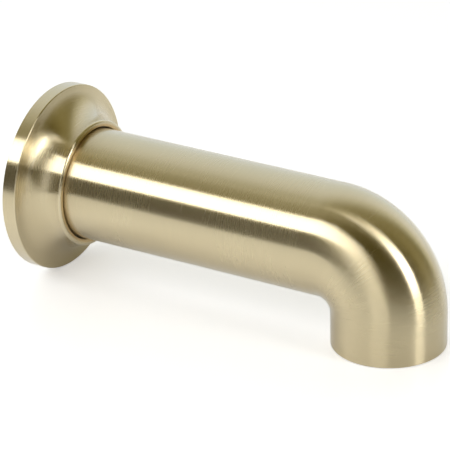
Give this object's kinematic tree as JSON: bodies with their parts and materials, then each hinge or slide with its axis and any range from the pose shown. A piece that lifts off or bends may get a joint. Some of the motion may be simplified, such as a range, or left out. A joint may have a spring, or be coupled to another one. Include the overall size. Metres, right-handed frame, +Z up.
{
  "type": "bath spout",
  "caption": "Wall-mounted bath spout: a round tube turns down through a tight elbow to an open outlet, with a coved flange at the wall and a threaded inlet behind it.",
  "frame": {"origin": "centre of the flange's wall face, on the axis of the tube", "axes": "+X out of the wall along the tube, +Z up with the outlet pointing down, +Y to the left seen from the wall"},
  "size_m": [0.1482, 0.064, 0.064],
  "materials": {
    "brushed_brass": "satin brushed, pale champagne gold, brush lines round the tube",
    "turned_brass": "turned, uncoated",
    "black_rubber": "moulded, matt"
  },
  "bodies": {
    "root": {"spout_body": "brushed_brass", "wall_flange": "brushed_brass", "inlet_bushing": "turned_brass", "flange_o_ring": "black_rubber"}
  },
  "joints": []
}
